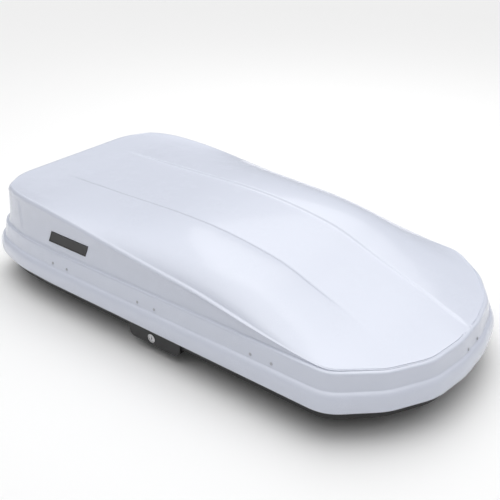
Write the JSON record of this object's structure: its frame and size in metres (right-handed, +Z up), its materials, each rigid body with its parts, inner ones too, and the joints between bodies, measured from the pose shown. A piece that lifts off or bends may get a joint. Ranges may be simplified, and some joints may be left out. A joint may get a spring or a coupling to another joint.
{
  "type": "roof cargo box",
  "caption": "Hard-shell roof cargo box: tapered lid hinged on one side over a flat black base with a key lock, latch bar, lid stays and slotted mounting rails.",
  "frame": {"origin": "centre of the footprint on the flat underside of the base", "axes": "+X towards the nose (vehicle's forward), +Y towards the hinge side, +Z up"},
  "size_m": [1.652, 0.84, 0.3423],
  "materials": {
    "lid_plastic": "gloss",
    "rivet_grey": "satin",
    "zinc_steel": "zinc plated",
    "base_plastic": "grained",
    "black_plastic": "satin",
    "plate_black": "gloss",
    "seal_rubber": "matt",
    "lock_chrome": "polished",
    "strut_black": "gloss",
    "rod_chrome": "polished",
    "bow_steel": "powder coated"
  },
  "bodies": {
    "base": {"base_leaf_rear": "zinc_steel", "hinge_pin_rear": "zinc_steel", "base_leaf_mid": "zinc_steel", "hinge_pin_mid": "zinc_steel", "base_leaf_front": "zinc_steel", "hinge_pin_front": "zinc_steel", "base_tray": "base_plastic", "rim_seal": "seal_rubber", "lock_housing": "black_plastic", "lock_bezel": "lock_chrome", "bar_guide_rear": "black_plastic", "bar_guide_front": "black_plastic", "floor_rail_right": "zinc_steel", "floor_rail_left": "zinc_steel", "floor_rib_rear": "zinc_steel", "floor_rib_front": "zinc_steel", "floor_rivets": "zinc_steel", "slot_strips": "seal_rubber", "stay_foot_rear": "zinc_steel", "stay_foot_front": "zinc_steel"},
    "lid": {"lid_shell": "lid_plastic", "side_rivets": "rivet_grey", "hinge_rivets": "rivet_grey", "nose_rivets": "rivet_grey", "catch_rear": "zinc_steel", "catch_mid": "zinc_steel", "catch_front": "zinc_steel", "lid_leaf_rear": "zinc_steel", "lid_leaf_mid": "zinc_steel", "lid_leaf_front": "zinc_steel", "nose_guide": "black_plastic", "roof_bow_rear": "bow_steel", "roof_bow_front": "bow_steel", "name_plate": "plate_black", "stay_lug_rear": "zinc_steel", "stay_lug_front": "zinc_steel"},
    "lock": {"lock_cylinder": "lock_chrome", "lock_cam": "zinc_steel"},
    "bar": {"lock_bar": "zinc_steel", "hook_rear": "black_plastic", "hook_mid": "black_plastic", "hook_front": "black_plastic"},
    "tube_rear": {"stay_tube_rear": "strut_black"},
    "rod_rear": {"stay_rod_rear": "rod_chrome"},
    "tube_front": {"stay_tube_front": "strut_black"},
    "rod_front": {"stay_rod_front": "rod_chrome"}
  },
  "joints": [
    {"name": "lid_hinge", "type": "hinge", "parent": "base", "child": "lid", "pos_m": [0, 0.402, 0.098], "axis": [-1, 0, 0], "range_deg": [0, 60]},
    {"name": "lock_turn", "type": "hinge", "parent": "base", "child": "lock", "pos_m": [0.006, -0.4, 0.061], "axis": [0, 1, 0], "range_deg": [0, 60]},
    {"name": "bar_slide", "type": "slide", "parent": "base", "child": "bar", "axis": [1, 0, 0], "range_m": [0, 0.016]},
    {"name": "stay_rear_pivot", "type": "hinge", "parent": "base", "child": "tube_rear", "pos_m": [-0.475, 0.37, 0.08], "axis": [-1, 0, 0], "range_deg": [0, 56]},
    {"name": "stay_rear_slide", "type": "slide", "parent": "tube_rear", "child": "rod_rear", "axis": [0, -0.3657, 0.9308], "range_m": [0, 0.032]},
    {"name": "stay_front_pivot", "type": "hinge", "parent": "base", "child": "tube_front", "pos_m": [0.4, 0.37, 0.08], "axis": [-1, 0, 0], "range_deg": [0, 56]},
    {"name": "stay_front_slide", "type": "slide", "parent": "tube_front", "child": "rod_front", "axis": [0, -0.3657, 0.9308], "range_m": [0, 0.032]}
  ],
  "couplings": [
    {"joint": "bar_slide", "follows": "lock_turn", "m_per_rad": 0.014324},
    {"joint": "stay_rear_pivot", "follows": "lid_hinge", "ratio": 0.89},
    {"joint": "stay_rear_slide", "follows": "lid_hinge", "m_per_rad": 0.0305},
    {"joint": "stay_front_pivot", "follows": "lid_hinge", "ratio": 0.89},
    {"joint": "stay_front_slide", "follows": "lid_hinge", "m_per_rad": 0.0305}
  ]
}
